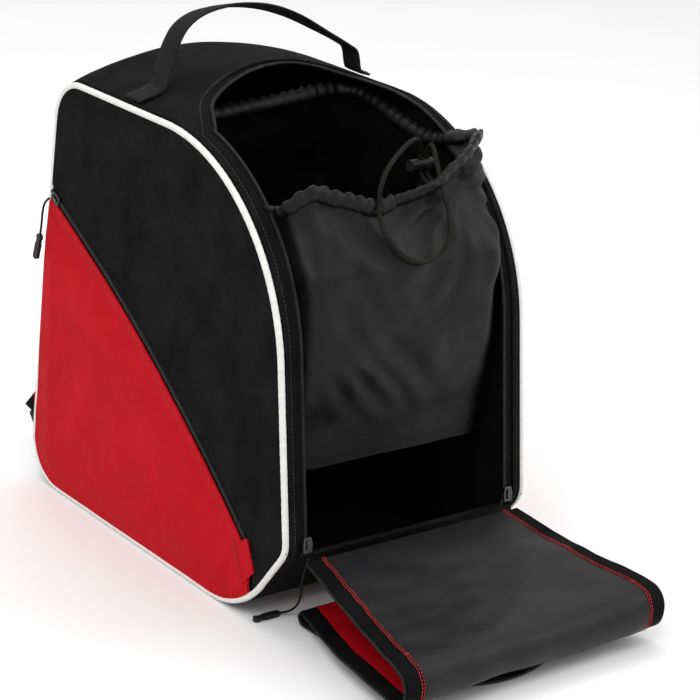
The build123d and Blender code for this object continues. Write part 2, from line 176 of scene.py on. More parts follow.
def tube_frames(path, closed=False, up=None):
    """Tangent, side and up vectors along a path, up given or carried along."""
    count = len(path)
    frames = []
    last = Vector(up) if up is not None and not callable(up) else Vector((0, 0, 1))
    for i in range(count):
        before = path[(i - 1) % count] if closed or i else path[0]
        after = path[(i + 1) % count] if closed or i < count - 1 else path[-1]
        tangent = (Vector(after) - Vector(before)).normalized()
        if callable(up):
            last = Vector(up(i))
        last = last - tangent * last.dot(tangent)
        if last.length < 1e-6:
            last = tangent.orthogonal()
        last = last.normalized()
        frames.append((tangent, tangent.cross(last).normalized(), last))
    return frames


def sweep(name, path, profile, material, closed=False, up=None):
    """A profile, a list of (side, up) or a function of the path's index, along a path."""
    frames = tube_frames(path, closed, up)
    rings = []
    for i, (point, (_, side, high)) in enumerate(zip(path, frames)):
        shape = profile(i) if callable(profile) else profile
        rings += [Vector(point) + side * a + high * b for a, b in shape]
    width = len(rings) // len(path)
    faces = grid_faces(len(path), width, wrap=True)
    if closed:
        last = (len(path) - 1) * width
        for j in range(width):
            k = (j + 1) % width
            faces.append((last + j, last + k, k, j))
    else:
        faces.append(tuple(range(width)))
        faces.append(tuple(reversed(range((len(path) - 1) * width, len(path) * width))))
    return new_mesh(name, rings, [tuple(reversed(f)) for f in faces], material)


def oval(width, height, count=10):
    return [(width / 2 * cos(2 * pi * k / count), height / 2 * sin(2 * pi * k / count)) for k in range(count)]


def coil(width, height, more_width, more_height):
    """A zip's coil: every second ring of the profile is larger."""
    return lambda i: oval(width + more_width * (i % 2), height + more_height * (i % 2), 6)


def ribbon(width, thickness, steps=4):
    """A flat band's profile with several points across it."""
    xs = [width * (k / steps - 0.5) for k in range(steps + 1)]
    top = [(x, thickness / 2 * (1 - 0.5 * (2 * abs(x) / width) ** 6)) for x in xs]
    return top + [(x, -z) for x, z in reversed(top)]


def resample(path, step, closed=False):
    """The same line with points at even distances."""
    points = [Vector(p) for p in path]
    if closed:
        points.append(points[0])
    lengths = [0.0]
    for a, b in zip(points, points[1:]):
        lengths.append(lengths[-1] + (b - a).length)
    count = max(2, ceil(lengths[-1] / step))
    result, k = [], 0
    for i in range(count if closed else count + 1):
        want = lengths[-1] * i / count
        while k < len(lengths) - 2 and lengths[k + 1] < want:
            k += 1
        run = lengths[k + 1] - lengths[k]
        t = (want - lengths[k]) / run if run > 1e-9 else 0
        result.append(points[k].lerp(points[k + 1], t))
    return result


def curve_through(points, per_run=8):
    """A smooth line through points (Catmull-Rom)."""
    knots = [Vector(p) for p in points]
    knots = [knots[0] * 2 - knots[1]] + knots + [knots[-1] * 2 - knots[-2]]
    line = []
    for a, b, c, d in zip(knots, knots[1:], knots[2:], knots[3:]):
        for i in range(per_run):
            t = i / per_run
            line.append(0.5 * (2 * b + (c - a) * t + (2 * a - 5 * b + 4 * c - d) * t * t
                               + (3 * b - a - 3 * c + d) * t ** 3))
    line.append(knots[-2].copy())
    return line


def joined(name, objects):
    """Several objects as one."""
    bpy.ops.object.select_all(action="DESELECT")
    for obj in objects:
        obj.select_set(True)
    bpy.context.view_layer.objects.active = objects[0]
    bpy.ops.object.join()
    objects[0].name = name
    return objects[0]


def put(obj, body, slot, *nodes):
    """The piece rides on a body and stands for its CAD nodes, which are hidden; slot is not used."""
    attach(obj, body)
    if nodes:
        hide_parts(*nodes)


def put_across(obj, bend, slot, *nodes):
    """The piece keeps its place, baked into its mesh, and stands for its CAD nodes, which are hidden; bend,
    its two bodies and the points where the bend starts and ends, is not used.
    """
    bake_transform(obj)
    if nodes:
        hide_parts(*nodes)


def stitches(name, path, lift, material, pitch=4.0, length=2.6, width=0.7, wander=0.0):
    """A row of separate thread stitches along a path, raised along lift(i)."""
    line = resample(path, pitch)
    frames = tube_frames(line, up=lift)
    points, faces = [], []
    for i, (p, (tangent, side, up)) in enumerate(zip(line, frames)):
        offset = side * wander * rough(i * 3.0, 0, 0, 10, 4.2)
        for k, share in enumerate((-0.5, -0.25, 0.25, 0.5)):
            high = 0.45 if k in (1, 2) else -0.25
            for a, b in ((-1, 0), (0, 1), (1, 0), (0, -1)):
                points.append(p + offset + tangent * length * share + side * a * width / 2
                              + up * (high + b * width / 2))
        start = i * 16
        faces += [tuple(reversed(f)) for f in grid_faces(4, 4, start, wrap=True)]
        faces += [(start, start + 1, start + 2, start + 3), (start + 15, start + 14, start + 13, start + 12)]
    return new_mesh(name, points, faces, material)


# ---------------------------------------------------------------- materials
def nodes_of(material):
    material.use_nodes = True
    tree = material.node_tree
    return tree.nodes, tree.links, tree.nodes["Principled BSDF"]


def add_node(nodes, kind, **values):
    """A shader node with its input values; an underscore in a name stands for a space."""
    node = nodes.new("ShaderNode" + kind)
    for name, value in values.items():
        node.inputs[name.replace("_", " ")].default_value = value
    return node


def added(nodes, links, first, second, factor=1.0):
    """The sum of two values, the first one times a factor."""
    node = add_node(nodes, "Math")
    node.operation = "MULTIPLY_ADD"
    node.inputs[1].default_value = factor
    links.new(first, node.inputs[0])
    links.new(second, node.inputs[2])
    return node.outputs[0]


def weave_height(nodes, links, period_mm, turn):
    """Crossed waves that make a weave's height; turn slants them into a twill."""
    position = add_node(nodes, "TexCoord")
    mapping = add_node(nodes, "Mapping", Rotation=(turn, turn, turn))
    links.new(position.outputs["Object"], mapping.inputs["Vector"])
    heights = []
    for direction in ("X", "Y", "Z"):
        scale = WAVE_SCALE / (period_mm * MM)
        wave = add_node(nodes, "TexWave", Scale=scale, Distortion=0.6, Detail=1.0)
        wave.bands_direction = direction
        links.new(mapping.outputs["Vector"], wave.inputs["Vector"])
        heights.append(wave.outputs["Fac"])
    return added(nodes, links, added(nodes, links, heights[0], heights[1]), heights[2])


def noise_at(nodes, links, scale, detail):
    position = add_node(nodes, "TexCoord")
    texture = add_node(nodes, "TexNoise", Scale=scale, Detail=detail, Roughness=0.55)
    links.new(position.outputs["Object"], texture.inputs["Vector"])
    return texture.outputs["Fac"]


def ramp(nodes, links, factor, dark, light, low=0.3, high=0.7):
    node = add_node(nodes, "ValToRGB")
    for element, position, colour in zip(node.color_ramp.elements, (low, high), (dark, light)):
        element.position = position
        element.color = (*colour, 1)
    links.new(factor, node.inputs["Fac"])
    return node.outputs["Color"]


def add_bump(nodes, links, height, strength, distance, under=None):
    node = add_node(nodes, "Bump", Strength=strength, Distance=distance)
    links.new(height, node.inputs["Height"])
    if under is not None:
        links.new(under, node.inputs["Normal"])
    return node.outputs["Normal"]


def worn(nodes, links, shader, factor, low, high):
    """Roughness that varies between two values."""
    links.new(ramp(nodes, links, factor, grey(low), grey(high)), shader.inputs["Roughness"])


def grey(value, tint=1.0):
    return (value, value, value * tint)


def cloth(name, dark, light, period, roughness, sheen=0.2, turn=0.0, weave=0.5, crease=0.5, specular=0.3):
    """Woven cloth: mottled colour, its weave and fine creases."""
    material = bpy.data.materials.new(name)
    nodes, links, shader = nodes_of(material)
    height = weave_height(nodes, links, period, turn)
    broad = noise_at(nodes, links, 26, 4)
    fine = noise_at(nodes, links, 900, 2)
    mottle = added(nodes, links, fine, broad, 0.45)
    links.new(ramp(nodes, links, mottle, dark, light, 0.5, 0.95), shader.inputs["Base Color"])
    normal = add_bump(nodes, links, broad, crease * 0.5, 0.004)
    normal = add_bump(nodes, links, noise_at(nodes, links, 110, 4), crease * 0.35, 0.0012, normal)
    normal = add_bump(nodes, links, height, weave, 0.0002, normal)
    links.new(normal, shader.inputs["Normal"])
    worn(nodes, links, shader, noise_at(nodes, links, 60, 3), roughness - 0.07, roughness + 0.06)
    shader.inputs["Sheen Weight"].default_value = sheen
    shader.inputs["Sheen Roughness"].default_value = 0.45
    shader.inputs["Specular IOR Level"].default_value = specular
    return material


def moulded(name, dark, light, roughness, metallic=0.0, grain=700, bump=0.15, specular=0.25):
    """Moulded plastic, rubber or plated metal, with a fine grain and scuffs."""
    material = bpy.data.materials.new(name)
    nodes, links, shader = nodes_of(material)
    links.new(ramp(nodes, links, noise_at(nodes, links, 140, 4), dark, light), shader.inputs["Base Color"])
    worn(nodes, links, shader, noise_at(nodes, links, 260, 5), roughness - 0.08, roughness + 0.1)
    links.new(add_bump(nodes, links, noise_at(nodes, links, grain, 3), bump, 0.0002), shader.inputs["Normal"])
    shader.inputs["Metallic"].default_value = metallic
    shader.inputs["Specular IOR Level"].default_value = specular
    return material


TWILL = cloth("black_twill", grey(0.0045), grey(0.010), 1.3, 0.85, 0.0, 0.6, 0.6, 0.3, 0.04)
RED = cloth("red_weave", (0.40, 0.001, 0.006), (0.48, 0.002, 0.010), 1.1, 0.75, 0.0, 0.0, 0.5, 0.4, 0.1)
SATIN = cloth("black_satin", grey(0.002, 1.15), grey(0.0045, 1.2), 0.7, 0.4, 0.0, 0.0, 0.2, 0.5, 0.2)
COATED = cloth("grey_coated_lining", grey(0.009, 1.1), grey(0.013, 1.1), 1.6, 0.42, 0.0, 0.3, 0.12, 0.3, 0.22)
INSIDE = cloth("dark_lining", grey(0.003), grey(0.006), 1.2, 0.8, 0.0, 0.0, 0.3, 0.5, 0.06)
TAPE = cloth("black_tape", grey(0.003), grey(0.006), 1.0, 0.7, 0.0, 0.2, 0.7, 0.15, 0.05)
WEBBING = cloth("ribbed_webbing", grey(0.008), grey(0.015), 2.2, 0.75, 0.0, 0.0, 0.9, 0.2, 0.1)
MESH_PAD = cloth("pad_fabric", grey(0.007), grey(0.014), 2.6, 0.8, 0.0, 0.5, 0.9, 0.3, 0.1)
CORD = cloth("braided_cord", grey(0.004), (0.018, 0.018, 0.014), 2.0, 0.7, 0.0, 0.8, 1.0, 0.1, 0.08)
THREAD_RED = cloth("red_thread", (0.5, 0.01, 0.02), (0.8, 0.04, 0.05), 0.6, 0.6, 0.2, 0.4, 0.5, 0.1)
THREAD_BLACK = cloth("black_thread", grey(0.01), grey(0.03), 0.6, 0.55, 0.2, 0.4, 0.5, 0.1)
VINYL = moulded("white_vinyl", (0.62, 0.62, 0.60), (0.74, 0.74, 0.72), 0.45, 0, 300, 0.25)
PLASTIC = moulded("black_plastic", grey(0.008), grey(0.02), 0.4)
RUBBER = moulded("black_rubber", grey(0.007), grey(0.016), 0.55, 0, 500, 0.3)
TEETH = moulded("zip_teeth", grey(0.006), grey(0.015), 0.45, specular=0.15)
GUNMETAL = moulded("gunmetal", grey(0.06), grey(0.13), 0.34, 1.0, 500, 0.1)
STEEL = moulded("spring_steel", grey(0.4), grey(0.6), 0.3, 1.0)


# ---------------------------------------------------------------- the side seam and the gusset's surface
PLACE_STEP = 0.25           # share of one stretch of the outline
NEAR_EDGE = 128.0           # an X close to the seam, where the gusset's places are looked up


def outline(top=0.0, back=0.0, step=5.0):
    """The seam's outline in Y and Z, with the same number of points whatever top and back are."""
    corners = [SEAM[0], (SEAM[1][0], SEAM[1][1] + top), (SEAM[2][0] + back, SEAM[2][1] + top),
               (SEAM[3][0] + back, SEAM[3][1]), SEAM[4]]
    count = len(corners)
    arcs = []
    for i, corner in enumerate(corners):
        here = Vector(corner)
        before = (Vector(corners[i - 1]) - here).normalized()
        after = (Vector(corners[(i + 1) % count]) - here).normalized()
        half = before.angle(after) / 2
        reach = SEAM_RADII[i] / (sin(half) / cos(half))
        centre = here + (before + after).normalized() * SEAM_RADII[i] / sin(half)
        first, last = here + before * reach - centre, here + after * reach - centre
        start = atan2(first.y, first.x)
        turn = (atan2(last.y, last.x) - start + pi) % (2 * pi) - pi
        steps = max(6, ceil(SEAM_RADII[i] * (pi - 2 * half) / step))
        arcs.append([centre + Vector((cos(start + turn * k / steps), sin(start + turn * k / steps)))
                     * SEAM_RADII[i] for k in range(steps + 1)])
    points = []
    for i, arc in enumerate(arcs):
        points += arc
        flat = Vector(arcs[(i + 1) % count][0]) - arc[-1]
        a, b = Vector(SEAM[i]), Vector(SEAM[(i + 1) % count])
        steps = max(2, ceil((b - a).length * 0.6 / step))
        points += [arc[-1] + flat * k / steps for k in range(1, steps)]
    return points


LOW_RING = outline()
HIGH_RING = outline(CROWN_TOP, CROWN_BACK)
RING = len(LOW_RING)


def ring_normal(ring, i):
    d = ring[(i + 1) % RING] - ring[(i - 1) % RING]
    return Vector((-d.y, d.x)).normalized()


RING_NORMALS = [ring_normal(LOW_RING, i) for i in range(RING)]


def gusset(s, x, depth=0.0):
    """A point of the gusset's outer surface: s is a place along the seam, x across the bag."""
    i = int(s) % RING
    k = (i + 1) % RING
    t = s - int(s)
    c = max(0.0, 1 - (x / PIPING_X) ** 2)
    low = LOW_RING[i].lerp(LOW_RING[k], t)
    high = HIGH_RING[i].lerp(HIGH_RING[k], t)
    normal = RING_NORMALS[i].lerp(RING_NORMALS[k], t)
    out = low.lerp(high, c) + normal * (PIPING_R - depth)
    return Vector((x, out.x, out.y))


def gusset_out(s):
    i = int(s) % RING
    n = RING_NORMALS[i].lerp(RING_NORMALS[(i + 1) % RING], s - int(s))
    return Vector((0, n.x, n.y))


def place_where(test, x=0.0, low=0.0):
    """The first place along the seam, from low on, where test of the surface's point turns true."""
    s = low
    while s < RING and not test(gusset(s, x)):
        s += PLACE_STEP
    return s


APEX = max(range(RING // 2), key=lambda i: LOW_RING[i].y + LOW_RING[i].x * 0.001)
AT_HINGE = place_where(lambda p: p.z >= HINGE_Z and p.y < -150, NEAR_EDGE)
AT_STRIP_END = place_where(lambda p: p.y >= -50, NEAR_EDGE, AT_HINGE)
TOP_END = place_where(lambda p: p.z < 385 and p.y > 100, NEAR_EDGE, AT_STRIP_END)
BACK_END = place_where(lambda p: p.z < 5 and p.y < 172, NEAR_EDGE, TOP_END)
BASE_FRONT = place_where(lambda p: p.y <= -92, NEAR_EDGE, BACK_END)


def opening_curve():
    """Plan of the opening's rear edge, with its ends running straight back."""
    return [Vector((p.x, p.y)) for p in curve_through([(x, y, 0) for x, y in OPENING_BACK], 7)]


EDGE = opening_curve()


def fullness(p, amount=1.0):
    """The slight unevenness of padded cloth."""
    return amount * (1.3 * rough(p.x, p.y, p.z, 95, 1.3) + 0.5 * rough(p.x, p.y, p.z, 34, 2.1))


def gusset_slab(name, columns, starts, ends, rows, amount=1.0):
    """A stretch of the gusset between two places along the seam; starts may differ by column."""
    if not isinstance(starts, list):
        starts = [starts] * len(columns)
    ends = [ends] * len(columns)
    grid = []
    for i in range(rows + 1):
        line = []
        for x, a, b in zip(columns, starts, ends):
            s = mix(a, b, i / rows)
            p = gusset(s, x)
            edge = min(1.0, (GUSSET_HALF - abs(x)) / 14)
            line.append(p + gusset_out(s) * fullness(p, amount) * edge)
        grid.append(line)
    normals = [gusset_out(mix(a, b, i / rows)) for i in range(rows + 1) for a, b in zip(starts, ends)]
    return slab(name, grid, WALL, TWILL, normals)


def edge_place(x, y):
    return place_where(lambda p: p.y >= y, x, AT_HINGE)


def make_gusset():
    for side, sign in SIDES:
        columns = [sign * x for x in spread(STRIP_X, GUSSET_HALF, 3)]
        if sign < 0:
            columns.reverse()
        strip = gusset_slab(f"front_strip_cloth_{side}", columns, AT_HINGE, AT_STRIP_END, 90, 0.4)
        put(strip, "root", "black_twill", f"front_strip_{side}")
    outer = spread(-GUSSET_HALF, -STRIP_X, 3)[:-1]
    columns = outer + [p.x for p in EDGE] + [-x for x in reversed(outer)]
    starts = [AT_STRIP_END] * 3 + [edge_place(p.x, p.y) for p in EDGE] + [AT_STRIP_END] * 3
    top = gusset_slab("top_cloth", columns, starts, TOP_END, 60)
    put(top, "root", "black_twill", "top_panel")
    wide = spread(-GUSSET_HALF, GUSSET_HALF, 44)
    for name, node, first, last, rows, amount in (
            ("back_cloth", "back_panel", TOP_END, BACK_END, 90, 1.6),
            ("base_cloth", "base_panel", BACK_END, BASE_FRONT, 40, 0.0),
            ("front_sill_cloth", "front_sill", BASE_FRONT, AT_HINGE + RING, 40, 0.7)):
        piece = gusset_slab(name, wide, first, last, rows, amount)
        put(piece, "root", "black_twill", node)
    for name, s in (("top_seam_stitches", TOP_END + 1), ("base_seam_stitches", BACK_END - 2)):
        line = [gusset(s, x) for x in spread(-124, 124, 60)]
        row = stitches(name, line, lambda i, s=s: gusset_out(s), THREAD_BLACK)
        put(row, "root", "black_twill")


def edge_line(inset, depth=0.0):
    """The opening's edge moved in by inset, from the left foot over the apex to the right foot."""
    half = STRIP_X - inset
    places = [(s, -half) for s in spread(AT_HINGE, AT_STRIP_END, 110)]
    for p in EDGE[1:-1]:
        x = p.x * half / STRIP_X
        y = p.y - inset * (1 - (p.x / STRIP_X) ** 2)
        places.append((edge_place(x, y), x))
    places += [(s, half) for s in spread(AT_STRIP_END, AT_HINGE, 110)]
    return [(gusset(s, x, depth), gusset_out(s)) for s, x in places]


def along_edge(name, inset, depth, profile, material, step=3.0):
    line = edge_line(inset, depth)
    path = resample([p for p, _ in line], step)
    ups = [n for _, n in line]

    def up(i):
        return ups[min(len(ups) - 1, round(i * (len(ups) - 1) / (len(path) - 1)))]

    return sweep(name, path, profile, material, up=up)


def make_main_zip():
    """The opening's bound edge, the zip tape beside it and its coil of teeth."""
    binding = along_edge("opening_binding", -0.4, 0.6, oval(3.4, 3.2, 8), TAPE)
    tape = along_edge("main_zip_tape", 4.6, 2.0, ribbon(8.6, 1.0), TAPE)
    teeth = along_edge("main_zip_teeth", 9.2, 1.8, coil(3.0, 2.3, 0.84, 0.644), TEETH, 0.75)
    zip_piece = joined("main_zip_tape", [tape, teeth])
    put(binding, "root", "black_tape")
    put(zip_piece, "root", "black_tape", "main_zip")
    seam = stitches("zip_seam_stitches", [p for p, _ in edge_line(-3.2, 0.1)], lambda i: Vector((0, 0, 1)),
                    THREAD_BLACK, 3.6, 2.4)
    put(seam, "root", "black_tape")


def make_piping():
    ring = [Vector((0, p.x, p.y)) for p in LOW_RING]
    for side, sign in SIDES:
        path = resample([Vector((sign * PIPING_X, p.y, p.z)) for p in ring], 2.5, closed=True)

        def shape(i):
            pucker = 1 + 0.03 * sin(i * 2.1) + 0.03 * rough(i * 2.5, sign * 9, 0, 12)
            return oval(2 * PIPING_R * pucker, 2 * PIPING_R * pucker, 12)

        piece = sweep(f"piping_{side}", path, shape, VINYL, closed=True, up=(1, 0, 0))
        put(piece, "root", "white_piping", f"piping_{side}")


# ---------------------------------------------------------------- side panels and pockets
def span_at(y):
    """Lowest and highest Z of the seam's outline at y."""
    heights = []
    for i in range(RING):
        a, b = LOW_RING[i], LOW_RING[(i + 1) % RING]
        if (a.x - y) * (b.x - y) <= 0 and abs(a.x - b.x) > 1e-9:
            heights.append(mix(a.y, b.y, (y - a.x) / (b.x - a.x)))
    return (min(heights), max(heights)) if heights else (86, 86)


def zip_height(y, offset=0.0):
    return POCKET_CENTRE[1] + sqrt((POCKET_R + offset) ** 2 - (y - POCKET_CENTRE[0]) ** 2)


def pocket_swell(y, z):
    """How far the full pocket stands out, with pull creases near its front tip."""
    low, _ = span_at(y)
    top = zip_height(y)
    inside = clamp((top - z) / 60) * clamp((z - low) / 34)
    inside *= smooth(y, POCKET_FRONT_Y, -60) * clamp((214 - y) / 30)
    fold = 1.6 * rough(y * 0.5 + z, z * 0.5, 0, 26, 5.5) * smooth(z, low + 150, low)
    tip = 1.5 * rough(y + 0.8 * z, 0, z * 0.3, 15, 3.1) * bump_at(y, -120, 55)
    return 4.6 * inside + (fold + tip) * clamp((top - z) / 16) * clamp((z - low) / 10)


def panel_swell(y, z):
    low, high = span_at(y)
    near = clamp((high - z) / 40) * clamp((z - low) / 30)
    return near * (1.4 + 1.8 * rough(y, z, 0, 90, 7.7) + 0.8 * rough(y, z, 0, 30, 1.7))


def side_patch(name, sign, ys, low_at, high_at, rows, x_at, thickness, material):
    grid = []
    for i in range(rows + 1):
        line = []
        for y in ys:
            z = mix(low_at(y), max(high_at(y), low_at(y) + 0.2), i / rows)
            line.append(Vector((sign * x_at(y, z), y, z)))
        grid.append(line if sign > 0 else line[::-1])
    return slab(name, grid, thickness, material, Vector((sign, 0, 0)))


def edge_spread(low, high, count):
    """Values that crowd towards both ends."""
    return [mix(low, high, 0.5 - 0.5 * cos(pi * k / count)) for k in range(count + 1)]


def make_sides():
    whole = edge_spread(-212.8, 222.6, 110)
    above_zip = edge_spread(-212.8, ZIP_END_Y + 1.6, 110)
    behind = edge_spread(POCKET_FRONT_Y, 222.6, 100)
    tape_half = POCKET_TAPE / 2
    for side, sign in SIDES:
        def black_low(y):
            low = span_at(y)[0]
            return max(low, zip_height(y, tape_half - 1)) if y > POCKET_FRONT_Y - 4 else low

        black = side_patch(f"side_cloth_{side}", sign, above_zip, black_low, lambda y: span_at(y)[1], 60,
                           lambda y, z: PANEL_X + panel_swell(y, z), 2.6, TWILL)
        put(black, "root", "black_twill", f"side_panel_{side}")
        red = side_patch(f"pocket_cloth_{side}", sign, behind, lambda y: span_at(y)[0] + 0.4,
                         lambda y: min(zip_height(y, -tape_half + 1.5), span_at(y)[1] - 1), 64,
                         lambda y, z: PANEL_X + pocket_swell(y, z) + 0.5, 2.6, RED)
        put(red, "root", "red_fabric", f"pocket_panel_{side}")
        make_pocket_edge(side, sign)
    for side, sign in SIDES:
        lining = side_patch(f"side_lining_{side}", -sign, whole, lambda y: span_at(y)[0] + 1,
                            lambda y: span_at(y)[1] - 1.5, 30,
                            lambda y, z: -LINING_X + 1.2 * rough(y, z, sign, 60, 8.2), 1.6, INSIDE)
        put(lining, "root", "grey_lining", "side_lining")


def pocket_line(sign, offset, y0, y1, x, step=4.0):
    ys = spread(y0, y1, ceil((y1 - y0) / step))
    return [Vector((sign * (x + pocket_lift(y)), y, zip_height(y, offset))) for y in ys]


def pocket_lift(y):
    """The zip bows out a little with the pocket."""
    return 1.1 * smooth(y, -150, -40) * smooth(y, 215, 120)


def make_pocket_edge(side, sign):
    """The zip's tape and teeth, the folded edge of the red cloth, its stitches and its end tab."""
    out = Vector((sign, 0, 0))

    def along(offset, y0, y1, lift):
        return pocket_line(sign, offset, y0, y1, PANEL_X + lift)

    def hem_profile(i):
        return ribbon(7.5 + 0.7 * rough(i * 4, 0, 0, 30, 2), 2.2)

    tape_line = resample(along(0, ZIP_START_Y, ZIP_END_Y, -0.4), 4)
    tape = sweep("tape", tape_line, ribbon(17, 1.2), TAPE, up=out)
    teeth_line = resample(along(0, ZIP_START_Y, ZIP_END_Y, 0.4), 0.8)
    teeth = sweep("teeth", teeth_line, coil(4.0, 2.0, 1.0, 0.7), TEETH, up=out)
    put(joined(f"pocket_zip_tape_{side}", [tape, teeth]), "root", "black_tape", f"pocket_zip_{side}")
    hem_line = resample(along(-POCKET_TAPE / 2 - 1.5, ZIP_START_Y, ZIP_END_Y + 1, 1.0), 4)
    hem = sweep(f"pocket_hem_{side}", hem_line, hem_profile, RED, up=out)
    put(hem, "root", "red_fabric")
    for offset, label in ((-6.8, "a"), (-11.5, "b")):
        row_line = along(-POCKET_TAPE / 2 + offset + 6, -152, ZIP_END_Y - 1, 2.0)
        row = stitches(f"pocket_stitches_{label}_{side}", row_line, lambda i: out, THREAD_RED, 3.4, 2.3, 0.5)
        put(row, "root", "red_fabric")
    top_front, low_front, low_back, top_back = (Vector(corner) for corner in POCKET_TAB)
    rows = []
    for i in range(9):
        a, b = top_front.lerp(top_back, i / 8), low_front.lerp(low_back, i / 8)
        lifts = [PANEL_X + 2.4 + 0.5 * sin(3 * j / 8 * pi) * sin(i / 8 * pi) for j in range(9)]
        rows.append([Vector((sign * x, *a.lerp(b, j / 8))) for j, x in enumerate(lifts)])
    put(slab(f"pocket_tab_cloth_{side}", rows, 1.4, RED, out), "root", "red_fabric")
    seam = [Vector((sign * (PANEL_X + 2.9), mix(-140, -152, t), mix(69, 40, t))) for t in spread(0, 1, 10)]
    row = stitches(f"pocket_tab_stitches_{side}", seam, lambda i: out, THREAD_BLACK, 3.0, 2.2, 0.6)
    put(row, "root", "red_fabric")


# ---------------------------------------------------------------- helmet compartment
COMPARTMENT = [(146, -184, 92, 114), (240, -196, 96, 116), (320, -192, 90, 118), (372, -158, 66, 118),
               (450, -118, 42, 118)]    # height, front, back and half width
CORNER = 30.0
HEM = 12.0
RIM_AT = (0, -133, 368)     # a point of the rim's slanting plane
# X and height of the rim's front edge, which the tied cloth pulls into peaks and dips
RIM_FRONT = [(-119, 374), (-97, 390), (-80, 394), (-61, 386), (-17, 374), (16, 377), (49, 383), (71, 397),
             (92, 408), (111, 414), (119, 412)]
SPILL_X = 126.0             # how far the cloth spills over the zip in front of the bag
AROUND = 240                # points round the compartment
TIE = (68, 372)             # X and Z where the tied cord gathers the cloth


def section(z):
    """Front, back and half width of the compartment at a height."""
    z = clamp(z, COMPARTMENT[0][0], COMPARTMENT[-1][0] - 0.01)
    for low, high in zip(COMPARTMENT, COMPARTMENT[1:]):
        if z <= high[0]:
            t = (z - low[0]) / (high[0] - low[0])
            return [mix(a, b, t * 0.6 + 0.4 * smooth(t)) for a, b in zip(low[1:], high[1:])]
    return COMPARTMENT[-1][1:]


def around(t, z, grow=0.0):
    """A point at a share t of the way round the compartment, from the middle of its front leftwards."""
    front, back, half = section(z)
    hx, hy, r = half + grow, (back - front) / 2 + grow, CORNER + grow
    flats = (hx - r, hy - r)                    # half lengths of the front and of a side
    arc = pi * r / 2
    d = (t % 1.0) * 4 * (flats[0] + flats[1] + arc) + flats[0]
    out, along = Vector((0, -1)), Vector((-1, 0))
    side = 0
    while d > 2 * flats[side % 2] + arc:
        d -= 2 * flats[side % 2] + arc
        out, along = along, -out
        side += 1
    flat = flats[side % 2]
    turn = max(0.0, d - 2 * flat) / r
    centre = out * flats[(side + 1) % 2] + along * (min(d, 2 * flat) - flat)
    normal = out * cos(turn) + along * sin(turn)
    p = centre + normal * r
    return Vector((p.x, p.y + (front + back) / 2, z)), Vector((normal.x, normal.y, 0))


def rim_front(x):
    """The front rim's height above the floor at x."""
    x = clamp(x, RIM_FRONT[0][0], RIM_FRONT[-1][0])
    for (x0, z0), (x1, z1) in zip(RIM_FRONT, RIM_FRONT[1:]):
        if x <= x1:
            return mix(z0, z1, smooth(x, x0, x1))
    return RIM_FRONT[-1][1]


def rim_height(x, y):
    slope = RIM_AT[2] + 0.1 * x + 0.22 * (y - RIM_AT[1])
    height = mix(slope, rim_front(x), smooth(y, -50, -125))
    return height + 2.0 * rough(x, y, 0, 22, 6.1)


FRONT_FACE = [gusset(s, 118) for s in spread(AT_HINGE, APEX, 60)]


def face_y(z):
    """Y of the bag's front face at a height."""
    for a, b in zip(FRONT_FACE, FRONT_FACE[1:]):
        if z <= b.z:
            return mix(a.y, b.y, clamp((z - a.z) / (b.z - a.z)))
    return FRONT_FACE[-1].y


def spill(p):
    """Cloth narrows to pass between the zips and widens again in front of them."""
    out = face_y(p.z) - p.y
    behind = mix(118, 108, smooth(out, -16, -5))
    limit = mix(behind, SPILL_X if p.x > 0 else 111, smooth(out, 1, 12))
    side = abs(p.x) * (1 + 0.07 * smooth(out, 2, 12) * (p.x > 0))
    soft = 14.0
    if side > limit - soft:
        side = limit - soft * exp(-(side - limit + soft) / soft)
    return Vector((side if p.x > 0 else -side, p.y, p.z))


def compartment_point(t, share, grow=0.0):
    """A point of the cloth, share 0 at its floor and 1 at the foot of its hem."""
    z = 360.0
    for _ in range(4):
        p, _ = around(t, z)
        z = rim_height(p.x, p.y) - HEM
    z = mix(COMPARTMENT[0][0], z, share)
    p, n = around(t, z, grow)
    gather = smooth(share, 0.45, 1.0)
    pleats = sin(t * 2 * pi * 34 + 3 * rough(t * 100, 0, 0, 9, 2)) * 1.3 * gather ** 3
    slant = p.x * 0.75 + (z - 300) * 0.66
    front = smooth(p.y, -60, -120)
    crease = 1 - 2.6 * abs(rough(slant, 0, (z - p.x) * 0.2, 26, 9.3))
    pulls = 4.4 * crease * front * bump_at(p.x, -20, 85) * smooth(z, 160, 230)
    fan = atan2(z - TIE[1], p.x - TIE[0])
    reach = bump_at(hypot(p.x - TIE[0], z - TIE[1]), 34, 42)
    rays = 3.4 * sin(fan * 15 + 2 * rough(fan * 30, 0, 0, 6)) * front * reach
    slack = 3.0 * rough(p.x, p.y, z, 52, 3.7) + 1.1 * rough(p.x, p.y, z, 19, 4.4)
    seam = -2.2 * bump_at(p.x, 46, 1.6) * front
    return spill(p + n * ((slack + pulls + rays) * smooth(share, 0, 0.15) + pleats + seam - 1.5)), n


def make_compartment():
    rows, shares = [], spread(0, 1, 74)
    normals = []
    for share in shares:
        line = [compartment_point(k / AROUND, share) for k in range(AROUND + 1)]
        rows.append([p for p, _ in line][::-1])
        normals += [n for _, n in line][::-1]
    for _ in range(3):
        rows = [evened(row) for row in rows]
    wall = slab("compartment_wall", rows, 1.6, SATIN, normals)
    floor_rows = []
    for k in range(8):
        floor_rows.append([Vector((p.x * k / 7, (p.y + 38) * k / 7 - 38, COMPARTMENT[0][0] + 1 + fullness(p)))
                           for p in rows[0]])
    shelf = slab("compartment_shelf", floor_rows[::-1], 2.0, SATIN, Vector((0, 0, 1)))
    piece = joined("compartment_cloth", [wall, shelf])
    put(piece, "root", "black_satin", "helmet_compartment")
    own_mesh(piece)
    make_hem()


